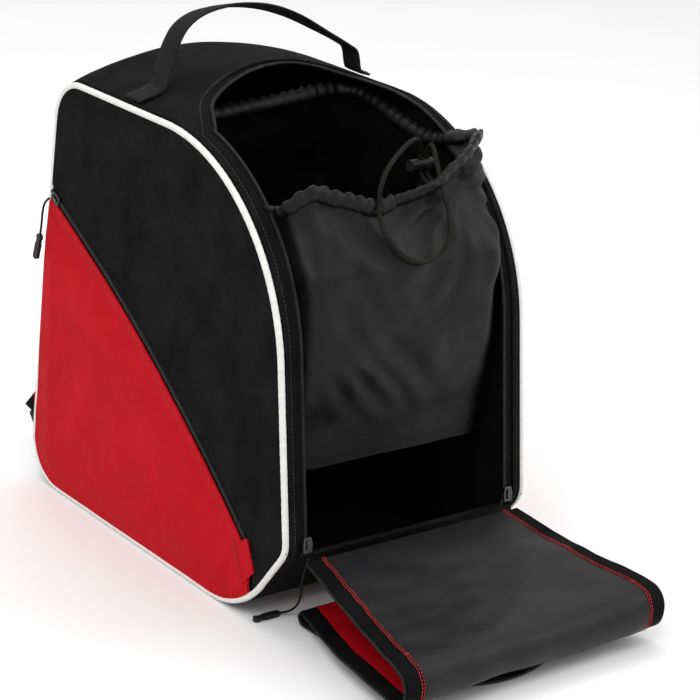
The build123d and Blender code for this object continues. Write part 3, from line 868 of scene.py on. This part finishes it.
def evened(line):
    """A closed line's points, each drawn towards the middle of its neighbours."""
    count = len(line) - 1
    ring = [(line[(k - 1) % count] + line[k] * 2 + line[(k + 1) % count]) / 4 for k in range(count)]
    return ring + [ring[0]]


def make_hem():
    """The gathered channel round the rim, scalloped where the cord puckers it."""
    path, outs = [], []
    count = 600
    for k in range(count + 1):
        p, n = compartment_point(k / count, 1.0)
        path.append(p + Vector((0, 0, HEM * 0.5)) + n * 0.6)
        outs.append(n)
    for _ in range(40):
        path = evened(path)
    path.pop()

    def shape(i):
        share = i / count
        ruffle = sin(share * 2 * pi * 74 + 2.2 * rough(share * 500, 0, 0, 12, 8)) * 0.5 + 0.5
        puff = 1 + 0.28 * ruffle + 0.14 * rough(share * 500, 3, 0, 14, 5)
        ring = []
        for k in range(14):
            a = 2 * pi * k / 14
            lip = 1.0 if k not in (3, 4) else 1.12 + 0.16 * ruffle
            ring.append((3.9 * cos(a) * puff, 6.6 * sin(a) * lip * (0.92 + 0.14 * ruffle)))
        return ring

    hem = sweep("compartment_hem", path, shape, SATIN, closed=True, up=(0, 0, 1))
    put(hem, "root", "black_satin", "drawcord_hem")
    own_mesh(hem)


# ---------------------------------------------------------------- cords
LOCK_Y = -107.0
CORD_D = 4.5
PULL_D = 2.2
DRAWCORD = [
    (72, -126.5, 368), (72, LOCK_Y, 368), (72, LOCK_Y, 396), (62, -114, 409), (44, -126, 412),
    (20, -140, 407), (-4, -153, 397), (-21, -166, 378), (-27, -182, 354), (-14, -193, 333),
    (7, -198, 324), (28, -198, 329), (41, -194, 342), (47, -183, 359), (54, -164, 373),
    (64, -142, 389), (75, -119, 405), (79, LOCK_Y, 396), (79, LOCK_Y, 368), (79, -126, 368),
]
MAIN_PULL = [(-114, -219.5, 81), (-117, -217, 66), (-112, -209, 48), (-103, -196, 30),
             (-96, -182, 15), (-96, -171, 4.5), (-102.5, -165, 2.6)]
POCKET_PULL = [(184, 300), (192, 295), (196.5, 283), (197.5, 271), (200, 260)]
POCKET_PULL_X = 141.0


def route_line(points):
    """The points of a route's smooth NURBS line, in metres."""
    data = bpy.data.curves.new("route", "CURVE")
    data.dimensions = "3D"
    data.resolution_u = 12
    spline = data.splines.new("NURBS")
    spline.points.add(len(points) - 1)
    for knot, p in zip(spline.points, points):
        knot.co = (*(Vector(p) * MM), 1)
    spline.order_u = 3
    spline.use_endpoint_u = True
    obj = new_object("route", data)
    bpy.context.view_layer.update()
    mesh = bpy.data.meshes.new_from_object(obj)
    line = [v.co.copy() for v in mesh.vertices]
    bpy.data.objects.remove(obj)
    return line


def braid_tube(name, line, diameter, material, strands=3, lay=4.0):
    """A cord of strands laid round its line, as one mesh in millimetres."""
    path = resample([p / MM for p in line], diameter / 4)
    frames = tube_frames(path)
    around_count = strands * 8

    def shape(i):
        turn = 2 * pi * i * (diameter / 4) / (lay * diameter)
        ring = []
        for k in range(around_count):
            a = 2 * pi * k / around_count
            cross = abs(sin(strands * (a + turn))) * abs(sin(strands * (a - turn)))
            r = diameter / 2 * (0.9 + 0.1 * sqrt(cross))
            ring.append((r * cos(a), r * sin(a)))
        return ring

    return sweep(name, path, shape, material, up=tuple(frames[0][2]))


def make_cord(name, route, diameter, body):
    line = route_line(route)
    piece = braid_tube(f"{name}_braid", line, diameter, CORD)
    put(piece, body, "black_cord", name)
    if name == "drawcord":
        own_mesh(piece)


def make_cords():
    make_cord("drawcord", DRAWCORD, CORD_D, "root")
    for side, sign in SIDES:
        route = [(-sign * x, y, z) for x, y, z in MAIN_PULL]
        make_cord(f"main_pull_{side}", route, PULL_D, f"main_slider_{side}")
        route = [(sign * POCKET_PULL_X, y, z) for y, z in POCKET_PULL]
        make_cord(f"pocket_pull_{side}", route, PULL_D, f"pocket_pull_{side}")


# ---------------------------------------------------------------- front flap
FOLD_Y = FLAP_HINGE[0] - FLAP_LOWER * cos(FLAP_DROP) + FRONT_FOLD_R * sin(FLAP_DROP)
FOLD_Z = UNDER_Z + FRONT_FOLD_R
FOLD_TURN = pi - FLAP_DROP
FOLD_LENGTH = FRONT_FOLD_R * FOLD_TURN
BACK_R = (UNDER_Z - TIP_Z) / 2
BACK_Z = (UNDER_Z + TIP_Z) / 2
BEND_Y = FOLD_Y + FLAP_MIDDLE
BACK_Y = BEND_Y + FLAP_MIDDLE
# places along the flap where one stretch ends and the next begins
V_FOLD = FLAP_LOWER
V_MIDDLE = V_FOLD + FOLD_LENGTH
V_BEND = V_MIDDLE + FLAP_MIDDLE
V_BACK = V_BEND + FLAP_MIDDLE
V_TIP = V_BACK + pi * BACK_R
V_ROUND = V_TIP + FLAP_TIP - TIP_HALF


def flap_line(v):
    """Point and lining-side normal of the flap's middle, in Y and Z, a length v from its hinge."""
    if v < V_FOLD:
        up = Vector((-sin(FLAP_DROP), cos(FLAP_DROP)))
        return Vector(FLAP_HINGE) + Vector((-cos(FLAP_DROP), -sin(FLAP_DROP))) * v, up
    if v < V_MIDDLE:
        a = pi / 2 + FLAP_DROP + (v - V_FOLD) / FRONT_FOLD_R
        out = Vector((cos(a), sin(a)))
        return Vector((FOLD_Y, FOLD_Z)) + out * FRONT_FOLD_R, out
    if v < V_BACK:
        return Vector((FOLD_Y + v - V_MIDDLE, UNDER_Z)), Vector((0, -1))
    if v < V_TIP:
        a = pi / 2 - (v - V_BACK) / BACK_R
        out = Vector((cos(a), sin(a)))
        return Vector((BACK_Y, BACK_Z)) + out * BACK_R, -out
    return Vector((BACK_Y - (v - V_TIP), TIP_Z)), Vector((0, 1))


def flap_edges(v, inset):
    places = [0, V_FOLD, V_MIDDLE, V_BEND, V_BACK]
    for k in range(4):
        if v <= places[k + 1]:
            t = clamp((v - places[k]) / (places[k + 1] - places[k]))
            left, right = (mix(side[k], side[k + 1], t) for side in (FLAP_LEFT, FLAP_RIGHT))
            return left + inset, right - inset
    half = TIP_HALF
    if v < V_TIP:
        half = mix(FLAP_RIGHT[-1], TIP_HALF, (v - V_BACK) / (V_TIP - V_BACK))
    half -= inset
    if v > V_ROUND:
        half = sqrt(max(0.0, half ** 2 - (v - V_ROUND) ** 2))
    return -half, half


def flap_sag(x, v):
    """How far the soft flap lies off its flat stretches, along its lining-side normal."""
    free = smooth(v, 4, 60)
    top = 1 - smooth(v, V_FOLD - 30, V_FOLD + 10)
    sag = -5.5 * free * top * bump_at(x, -20, 90) * bump_at(v, 80, 50)
    wave = 3.0 * rough(x, v, 0, 62, 5.1) + 1.2 * rough(x * 0.7, v * 1.5, 0, 27, 2.6)
    corner = 7.0 * bump_at(x, 150, 45) * bump_at(v, 150, 60) * (1 - smooth(v, V_FOLD - 5, V_FOLD + 22))
    roll = 1.6 * rough(x, 0, 0, 30, 3.3) * bump_at(v, (V_FOLD + V_MIDDLE) / 2, 22)
    lying = smooth(v, V_MIDDLE - 10, V_MIDDLE + 20)
    lower = 0.5 * wave * lying * (1 - smooth(v, V_BACK - 12, V_BACK))
    return (sag + wave * free) * (1 - lying) + corner + roll + lower


def flap_point(x, v, height):
    middle, normal = flap_line(v)
    p = middle + normal * (height + flap_sag(x, v))
    return Vector((x, p.x, max(p.y, 0.45)))


def flap_slab(name, places, low, high, material):
    """A layer of the flap from a grid of (x, v), between two heights above its middle."""
    top = [flap_point(x, v, high) for row in places for x, v in row]
    under = [flap_point(x, v, low) for row in places for x, v in row]
    faces = [tuple(reversed(f)) for f in slab_faces(len(places), len(places[0]))]
    return new_mesh(name, top + under, faces, material)


def field_places(v0, v1, inset, step=4.5):
    rows = []
    for v in spread(v0, v1, max(3, ceil((v1 - v0) / step))):
        left, right = flap_edges(v, inset)
        rows.append([(mix(left, right, k / 48), v) for k in range(49)])
    return rows


def border_places(v0, v1, side, outer=0.0, inner=FLAP_EDGE):
    rows = []
    for v in spread(v0, v1, max(3, ceil((v1 - v0) / 4.5))):
        a = flap_edges(v, outer)[0 if side < 0 else 1]
        b = flap_edges(v, inner)[0 if side < 0 else 1]
        line = [(mix(a, b, k / 5), v) for k in range(6)]
        rows.append(line if side < 0 else line[::-1])
    return rows


def tip_border_places():
    """The border from the end's left side round its end to the right."""
    rows = []
    for k in range(61):
        a = pi * k / 60
        row = []
        for j in range(6):
            r = TIP_HALF - FLAP_EDGE * j / 5
            row.append((-r * cos(a), V_ROUND + r * sin(a)))
        rows.append(row)
    return rows


FLAP_STRETCHES = [
    ("flap_lower", 1.0, V_FOLD - 12), ("flap_front_fold", V_FOLD - 12, V_MIDDLE + 12),
    ("flap_middle", V_MIDDLE + 12, V_BEND - 3), ("flap_upper", V_BEND - 3, V_BACK - 6),
    ("flap_back_fold", V_BACK - 6, V_TIP + 6), ("flap_tip", V_TIP + 6, V_TIP + FLAP_TIP - FLAP_EDGE),
]
# the two bodies of each bend, and where it starts and ends
FLAP_BENDS = {
    "flap_lower": ("root", "flap_lower", (0, -0.223, 0.078), (0, -0.247, 0.073)),
    "flap_front_fold": ("flap_lower", "flap_middle", (0, FOLD_Y * MM, 0.0465), (0, FOLD_Y * MM, 0.0145)),
    "flap_upper": ("flap_middle", "flap_upper",
                   (0, (BEND_Y - 3) * MM, 0.0145), (0, (BEND_Y + 5) * MM, 0.0145)),
    "flap_back_fold": ("flap_upper", "flap_tip", (0, BACK_Y * MM, 0.0145), (0, BACK_Y * MM, 0.003)),
}


def put_flap(obj, stretch, slot, *nodes):
    if stretch in FLAP_BENDS:
        put_across(obj, FLAP_BENDS[stretch], slot, *nodes)
    else:
        put(obj, stretch, slot, *nodes)


def make_flap():
    for stretch, v0, v1 in FLAP_STRETCHES:
        fold = stretch.endswith("fold")
        field = field_places(v0, v1 + 0.3, FLAP_EDGE)
        lining = flap_slab(f"{stretch}_lining_cloth", field, 0.1, FLAP_HALF_T, COATED)
        field = field_places(v0, v1, FLAP_EDGE - 3)
        panel = flap_slab(f"{stretch}_panel_cloth", field, -FLAP_HALF_T, -0.1, RED)
        if stretch == "flap_tip":
            strips = [border_places(v0, V_ROUND, s) for s in (-1, 1)] + [tip_border_places()]
        else:
            strips = [border_places(v0, v1, s) for s in (-1, 1)]
        half = FLAP_HALF_T * 0.9
        borders = [flap_slab("border", places, -half, half, TAPE) for places in strips]
        border = joined(f"{stretch}_border_cloth", borders)
        names = [stretch] * 3 if fold else [f"{stretch}_lining", f"{stretch}_panel", f"{stretch}_border"]
        slots = ("grey_lining", "red_fabric", "black_tape")
        for obj, slot, name in zip((lining, panel, border), slots, names):
            put_flap(obj, stretch, slot, name)
        make_flap_trim(stretch, v0, v1)


def make_flap_trim(stretch, v0, v1):
    """Red seam thread on both sides of the lining and the zip teeth along the flap's edge."""
    pieces, lines = [], []
    for side in (0, 1):
        for inset in (FLAP_EDGE - 1.2, FLAP_EDGE - 3.6):
            line = [flap_point(flap_edges(v, inset)[side], v, FLAP_HALF_T + 0.1) for v in spread(v0, v1, 30)]
            pieces.append(stitches("thread", line, lambda i, v=v0: Vector((0, *flap_line(v)[1])), THREAD_RED,
                                   3.3, 2.4, 0.55, 1.2))
        end = min(v1, V_ROUND)
        lines.append([flap_point(flap_edges(v, -0.8)[side], v, 0) for v in spread(v0, end, 30)])
    if stretch == "flap_tip":
        r = TIP_HALF + 0.8
        lines.append([flap_point(-r * cos(a), V_ROUND + r * sin(a), 0) for a in spread(0, pi, 90)])
    teeth = [sweep("teeth", resample(line, 0.9), coil(2.6, 2.2, 0.9, 0.7), TEETH) for line in lines]
    put_flap(joined(f"{stretch}_thread", pieces), stretch, "red_fabric")
    put_flap(joined(f"{stretch}_teeth", teeth), stretch, "black_tape")


# ---------------------------------------------------------------- handle and shoulder straps
HANDLE_Y = 60.0
HANDLE_W = 26.0
HANDLE_T = 3.0
HANDLE_FOOT_Z = 447.5       # where the arch that swings meets its feet
HANDLE_LINE = [(-129, 423.6), (-105, 431.2), (-98.2, 447.5), (-90, 470), (-79, 487), (-58, 498), (-26, 501.5),
               (8, 498), (42, 487), (78, 469), (104, 455), (113.2, 447.5), (118.5, 428.5), (129.5, 423.4)]


def handle_piece(name, line, tilt=0.0):
    path = resample(line, 3)
    count = len(path)

    def up(i):
        tangent = (path[min(i + 1, count - 1)] - path[max(i - 1, 0)]).normalized()
        normal = Vector((-tangent.z, 0, tangent.x))
        twist = tilt * sin(pi * i / (count - 1)) ** 2
        return normal * cos(twist) + Vector((0, 1, 0)) * sin(twist)

    ribbed = [(a, b + 0.25 * cos(a * pi / 1.6)) for a, b in ribbon(HANDLE_W, HANDLE_T, 12)]
    return sweep(name, path, ribbed, WEBBING, up=up)


def make_handle():
    line = curve_through([(x, HANDLE_Y, z) for x, z in HANDLE_LINE], 10)
    arch = [p for p in line if p.z >= HANDLE_FOOT_Z]
    left = [p for p in line if p.z <= HANDLE_FOOT_Z + 1 and p.x < 0]
    right = [p for p in line if p.z <= HANDLE_FOOT_Z + 1 and p.x > 0]
    put(handle_piece("carry_handle_webbing", arch, 0.3), "carry_handle", "webbing", "carry_handle")
    feet, ends = [], []
    for part, sign in ((left, -1), (right, 1)):
        foot = [p for p in part if abs(p.x) < (105.5 if sign < 0 else 118.8)]
        end = [p for p in part if abs(p.x) > (104.5 if sign < 0 else 118.2)]
        feet.append(handle_piece("foot", foot))
        ends.append(handle_piece("end", [p + Vector((0, 0, 1.2)) for p in end]))
    bend = ("root", "carry_handle", (0, 0.06, 0.4305), (0, 0.06, 0.447))
    put_across(joined("handle_feet_webbing", feet), bend, "webbing", "handle_feet")
    put(joined("handle_ends_webbing", ends), "root", "webbing", "handle_ends")


PAD_T = 12.0
PAD_SHRINK = 4.0            # how much smaller the pad starts, because it swells
PAD_VOXEL = 4.5
PAD_SWELL = 4.0             # the most that a point of it may move


def soft_pad(name, low, high, material):
    """A pad blown up by a cloth simulation from a slightly smaller box."""
    size = [b - a - PAD_SHRINK for a, b in zip(low, high)]
    middle = [(a + b) / 2 for a, b in zip(low, high)]
    nx, nz = (max(2, ceil(length / 6)) for length in (size[0], size[2]))
    rows = []
    for w in (i / nz - 0.5 for i in range(nz + 1)):
        taper = 1 - 0.12 * smooth(-w, 0.2, 0.5)
        rows.append([Vector((middle[0] + (j / nx - 0.5) * size[0] * taper, middle[1] + size[1] / 2,
                             middle[2] + w * size[2])) for j in range(nx + 1)])
    pad = slab(name, rows, size[1], material, Vector((0, 1, 0)))
    bpy.context.view_layer.objects.active = pad
    remesh = pad.modifiers.new("remesh", "REMESH")
    remesh.mode = "VOXEL"
    remesh.voxel_size = PAD_VOXEL * MM
    bpy.ops.object.modifier_apply(modifier="remesh")
    cloth_mod = pad.modifiers.new("cloth", "CLOTH")
    settings = cloth_mod.settings
    settings.use_pressure = True
    settings.uniform_pressure_force = 4
    settings.effector_weights.gravity = 0
    rest = [v.co.copy() for v in pad.data.vertices]
    for step in range(1, 21):
        bpy.context.scene.frame_set(step)
    graph = bpy.context.evaluated_depsgraph_get()
    swollen = [v.co.copy() for v in pad.evaluated_get(graph).data.vertices]
    pad.modifiers.remove(cloth_mod)
    for vertex, a, b in zip(pad.data.vertices, rest, swollen):
        move = b - a
        if move.length > PAD_SWELL * MM:
            move = move.normalized() * PAD_SWELL * MM
        vertex.co = a + move
    bpy.context.scene.frame_set(1)
    subdivide = pad.modifiers.new("subdivide", "SUBSURF")
    subdivide.levels = 1
    bpy.ops.object.modifier_apply(modifier="subdivide")
    for polygon in pad.data.polygons:
        polygon.use_smooth = True
    return pad


def box_of(node):
    """The low and high corner of a CAD node, in millimetres."""
    return [Vector(corner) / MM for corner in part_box(node)]


def make_straps():
    back_low, back_high = Vector(SEAM[3]), Vector(SEAM[2])
    lean = (back_high - back_low).normalized()
    for side, sign in SIDES:
        node = f"shoulder_pad_{side}"
        low, high = box_of(node)
        tall = high.z - low.z
        tilt = Matrix.Rotation(-atan2(lean.x, lean.y), 4, "X")
        middle = (low + high) / 2
        name = f"shoulder_pad_cloth_{side}"
        pad = soft_pad(name, (low.x, -PAD_T / 2, -tall / 2), (high.x, PAD_T / 2, tall / 2), MESH_PAD)
        pad.data.transform(Matrix.Translation(Vector((0, middle.y, middle.z)) * MM) @ tilt)
        put(pad, f"shoulder_strap_{side}", "webbing", node)
        make_strap_webbing(side, sign)


def make_strap_webbing(side, sign):
    node = f"strap_webbing_{side}"
    low, high = box_of(node)
    buckle_low, buckle_high = box_of(f"ladder_lock_{side}")
    inner = min(abs(low.x), abs(high.x))
    outer = max(abs(low.x), abs(high.x))
    top = Vector((sign * (inner + 10), (buckle_low.y + buckle_high.y) / 2 - 1, buckle_low.z + 2))
    foot = Vector((sign * (outer - 4), 229, 66))
    line = [top, top.lerp(foot, 0.33) + Vector((0, 2, -4)), top.lerp(foot, 0.7) + Vector((0, 3, -5)), foot]
    path = resample(curve_through(line), 4)
    piece = sweep(f"strap_webbing_cloth_{side}", path, ribbon(22, 2.0, 8), WEBBING, up=(0, 1, 0))
    bend = ("root", f"shoulder_strap_{side}", tuple(foot * MM), tuple(top * MM))
    put_across(piece, bend, "webbing", node)


def make_anchors():
    pieces = []
    for _, sign in SIDES:
        rows = []
        for i in range(9):
            z = mix(40, 80, i / 8)
            wide = 16.4 * (1 - abs(z - 60) / 20)
            rows.append([Vector((sign * 128.4, 221.6 + wide * j / 6, z)) for j in range(7)])
        pieces.append(slab("anchor", rows, 2.4, WEBBING, Vector((sign, 0, 0))))
    put(joined("strap_anchor_cloth", pieces), "root", "webbing", "strap_anchors")


# ---------------------------------------------------------------- kept CAD pieces
def give(node, material):
    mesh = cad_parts[node].data
    mesh.materials.clear()
    mesh.materials.append(material)


def dress_kept_nodes():
    """Rigid fittings, and the board and foam sealed inside the shell, keep their CAD shapes."""
    for side, _ in SIDES:
        for node, material in (("main_slider", GUNMETAL), ("pocket_slider", GUNMETAL), ("main_tab", RUBBER),
                               ("pocket_tab", RUBBER), ("ladder_lock", PLASTIC)):
            give(f"{node}_{side}", material)
    give("base_board", PLASTIC)
    give("back_foam", MESH_PAD)
    give("cord_lock_barrel", PLASTIC)
    give("cord_lock_plunger", PLASTIC)
    give("cord_lock_spring", STEEL)


# ---------------------------------------------------------------- floor, light and camera
FLOOR_HALF = 9000.0


def make_camera():
    azimuth, elevation, roll = radians(37.990), radians(19.860), radians(3.4617)
    view = Vector((sin(azimuth) * cos(elevation), cos(azimuth) * cos(elevation), -sin(elevation)))
    level = Vector((cos(azimuth), -sin(azimuth), 0))
    high = level.cross(view)
    right = level * cos(roll) + high * sin(roll)
    up = high * cos(roll) - level * sin(roll)
    data = bpy.data.cameras.new("camera")
    data.sensor_width = 36
    data.lens = 123.46
    camera = new_object("camera", data)
    turn = Matrix((right, up, -view)).transposed().to_4x4()
    camera.matrix_world = Matrix.Translation((-1.25692, -1.72268, 0.95606)) @ turn
    bpy.context.scene.camera = camera


def area_light(name, place, target, size, power):
    data = bpy.data.lights.new(name, "AREA")
    data.shape = "RECTANGLE"
    data.size, data.size_y = size
    data.energy = power
    light = new_object(name, data)
    light.location = place
    light.rotation_euler = (Vector(target) - Vector(place)).to_track_quat("-Z", "Y").to_euler()


def make_stage():
    material = bpy.data.materials.new("floor")
    nodes, links, shader = nodes_of(material)
    colour = ramp(nodes, links, noise_at(nodes, links, 3, 2), grey(0.84), grey(0.86))
    links.new(colour, shader.inputs["Base Color"])
    shader.inputs["Roughness"].default_value = 0.9
    r = FLOOR_HALF
    floor = new_mesh("floor", [(-r, -r, 0), (r, -r, 0), (r, r, 0), (-r, r, 0)], [(0, 1, 2, 3)], material)
    world = bpy.data.worlds.new("studio")
    bpy.context.scene.world = world
    world.use_nodes = True
    background = world.node_tree.nodes["Background"]
    background.inputs["Color"].default_value = (1.0, 1.0, 1.0, 1)
    background.inputs["Strength"].default_value = 0.92
    area_light("key", (-1.6, -1.4, 2.4), (0, -0.05, 0.2), (1.6, 1.2), 30)
    area_light("fill", (1.9, -1.3, 1.7), (0, 0, 0.25), (1.4, 1.4), 10)
    area_light("top", (0.1, 0.6, 2.6), (0, 0, 0.3), (1.8, 1.4), 20)
    bpy.context.scene.view_settings.view_transform = "Standard"


make_camera()
make_stage()
make_cords()
make_gusset()
make_main_zip()
make_piping()
make_sides()
make_compartment()
make_flap()
make_handle()
make_straps()
make_anchors()
dress_kept_nodes()
